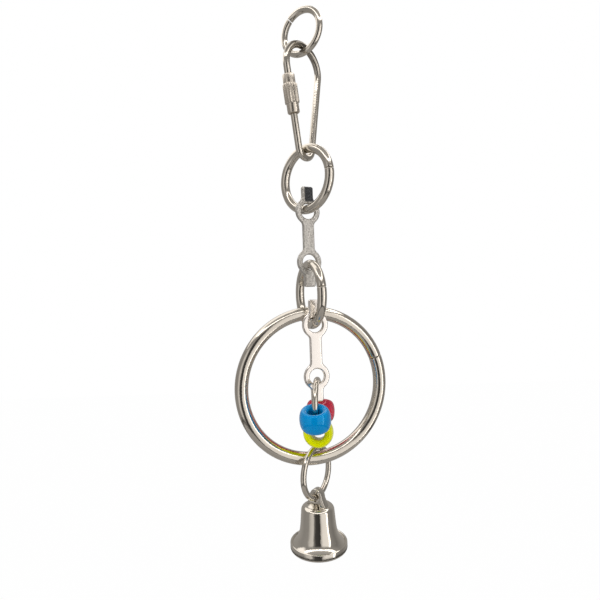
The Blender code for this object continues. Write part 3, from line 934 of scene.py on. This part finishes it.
def build_toy():
    """Every piece of the toy, from the top down."""
    bright = plated("bright_nickel", **BRIGHT_PLATE)
    # The quick link's head carries a painted dark reflection
    head_darkened = plated("nickel_painted_dark_head", **BRIGHT_PLATE, mark=painted_head_reflection, mark_colour=HEAD_REFLECTION_COLOUR)
    machined = plated("turned_nickel", **SLEEVE_PLATE)
    # The upper strap's top stub carries a painted dark reflection
    satin = plated("satin_nickel", **SATIN_PLATE, mark=painted_stub_reflection, mark_colour=STUB_REFLECTION_COLOUR)
    pale = plated("pale_nickel", **PALE_PLATE)
    cast = plated("cast_nickel", **BELL_PLATE)
    bent_ring("hanging_ring", "quick_link_swing", HANGING_WIRE, HANGING_SEAM, bright)
    lean = quick_link(head_darkened)
    sleeve(lean, machined)
    bent_ring("upper_ring", "upper_strap_swing", CHAIN_WIRE, UPPER_SEAM, bright)
    strap("upper_strap_link", "upper_strap", "middle_ring_swing", satin)
    bent_ring("middle_ring", "large_ring_swing", CHAIN_WIRE, MIDDLE_SEAM, bright)
    strap("lower_strap_link", "lower_strap", "bead_ring_swing", pale)
    bent_ring("large_ring", "bell_ring_swing", LARGE_WIRE, LARGE_SEAM, bright, LARGE_RING_STEPS)
    bent_ring("bead_ring", "yellow_bead_spin", SMALL_WIRE, BEAD_RING_SEAM, bright)
    bead("blue_bead", moulded("blue_plastic", **BLUE_PLASTIC))
    bead("yellow_bead", moulded("yellow_plastic", **YELLOW_PLASTIC))
    bead("red_bead", moulded("red_plastic", **RED_PLASTIC))
    bent_ring("bell_ring", "bell_swing", SMALL_WIRE, BELL_RING_SEAM, bright)
    ceiling = bell(cast)
    staple(ceiling, bright)
    clapper(bright)


# Studio


def seen_directly(look):
    """One on rays that show the background itself, straight or by way of metal and clear plastic."""
    paths = {}
    for name in ("Is Camera Ray", "Is Glossy Ray", "Is Transmission Ray"):
        paths[name] = look.node("ShaderNodeLightPath", output=name)
    return paths["Is Camera Ray"].larger(paths["Is Glossy Ray"]).larger(paths["Is Transmission Ray"])


def studio_world():
    world = bpy.data.worlds.new("studio")
    bpy.context.scene.world = world
    world.use_nodes = True
    look = Finish(world.node_tree)
    strength = WORLD_LIGHT + (1 - WORLD_LIGHT) * seen_directly(look)
    light = look.node("ShaderNodeBackground", inputs={"Color": WHITE, "Strength": strength})
    look.node("ShaderNodeOutputWorld", inputs={"Surface": light})


def studio_floor():
    """A pale floor well below the toy, nearly white where it is seen, which keeps a faint shadow."""
    deselect()
    bpy.ops.mesh.primitive_plane_add(size=FLOOR_SIZE, location=(0, 0, cad_low.z - FLOOR_DROP))
    floor = bpy.context.object
    floor.name = "studio_floor"
    made, look = new_finish("pale_floor")
    matte = look.node("ShaderNodeBsdfDiffuse", inputs={"Color": FLOOR_COLOUR})
    white = look.node("ShaderNodeEmission", inputs={"Color": WHITE, "Strength": 1.0})
    share = FLOOR_WHITE * seen_directly(look)
    look.surface(look.node("ShaderNodeMixShader", inputs={0: share, 1: matte, 2: white}))
    floor.data.materials.append(made)


def cloth_grey(brightness):
    """A grey of the tent's cloth, which leans to the warm side."""
    level = brightness / TENT_STRENGTH
    return (level, level * (1 - TENT_WARMTH), level * (1 - 2 * TENT_WARMTH), 1)


def cloth(look, stops, where):
    """A grey of the tent that changes along a ramp."""
    greys = [(place, cloth_grey(brightness)) for place, brightness in stops]
    return look.node("ShaderNodeValToRGB", {"stops": greys}, {"Fac": where})


def reflection_tent():
    """Cards that only the gloss sees: a dark one in front, pale ones beside it, and a lit roof."""
    deselect()
    centre = cad_low.lerp(cad_high, 0.5)
    bpy.ops.mesh.primitive_uv_sphere_add(
        segments=TENT_SEGMENTS, ring_count=TENT_RINGS, radius=TENT_RADIUS, location=centre
    )
    tent = bpy.context.object
    tent.name = "reflection_tent"
    made, look = new_finish("tent_cloth")
    outward = look.node("ShaderNodeVectorMath", {"operation": "NORMALIZE"}, {0: look.place()})
    side, depth, up = look.axes(outward)
    folds = TENT_FOLD_DEPTH * (look.noise(outward, TENT_FOLDS, detail=2.0) - 0.5)
    height = up + folds
    below = -1 * height
    bearing = side.bearing(-1 * depth)
    cards = [(0.5 + degrees / 360, brightness) for degrees, brightness in TENT_CARDS]
    colour = cloth(look, cards, 0.5 + bearing + folds)
    colour = look.blend(rising(height, ROOF_EDGE), colour, cloth(look, TENT_ROOF, height))
    left_box = rising(height, LEFT_BOX_EDGE) * rising(-1 * bearing, LEFT_BOX_FRONT)
    colour = look.blend(left_box, colour, cloth_grey(LEFT_BOX))
    colour = look.blend(rising(below, GROUND_EDGE), colour, cloth(look, TENT_GROUND, below))
    look.surface(look.node("ShaderNodeEmission", inputs={"Color": colour, "Strength": TENT_STRENGTH}))
    tent.data.materials.append(made)
    tent.visible_camera = False
    tent.visible_diffuse = False
    tent.visible_transmission = False
    tent.visible_shadow = False


def lamp(name, direction, power):
    """A soft square lamp that faces the toy's middle from a direction."""
    light = bpy.data.lights.new(name, "AREA")
    light.energy = power
    light.size = LAMP_SIZE
    made = bpy.data.objects.new(name, light)
    bpy.context.scene.collection.objects.link(made)
    toward = Vector(direction).normalized()
    made.location = cad_low.lerp(cad_high, 0.5) + toward * LAMP_DISTANCE
    made.rotation_euler = toward.to_track_quat("Z", "Y").to_euler()
    made.visible_glossy = False


def photograph_camera():
    lens = bpy.data.cameras.new("camera")
    lens.lens = CAMERA_LENS
    lens.clip_start = CAMERA_NEAR
    camera = bpy.data.objects.new("camera", lens)
    bpy.context.scene.collection.objects.link(camera)
    level = Matrix.Rotation(math.pi / 2, 4, "X")
    roll = Matrix.Rotation(CAMERA_ROLL, 4, "Y")
    camera.matrix_world = Matrix.Translation(CAMERA_PLACE) @ roll @ level
    bpy.context.scene.camera = camera


build_toy()
studio_world()
studio_floor()
reflection_tent()
for lamp_name, lamp_direction, lamp_power in LAMPS:
    lamp(lamp_name, lamp_direction, lamp_power)
photograph_camera()
bpy.context.scene.view_settings.view_transform = "Standard"
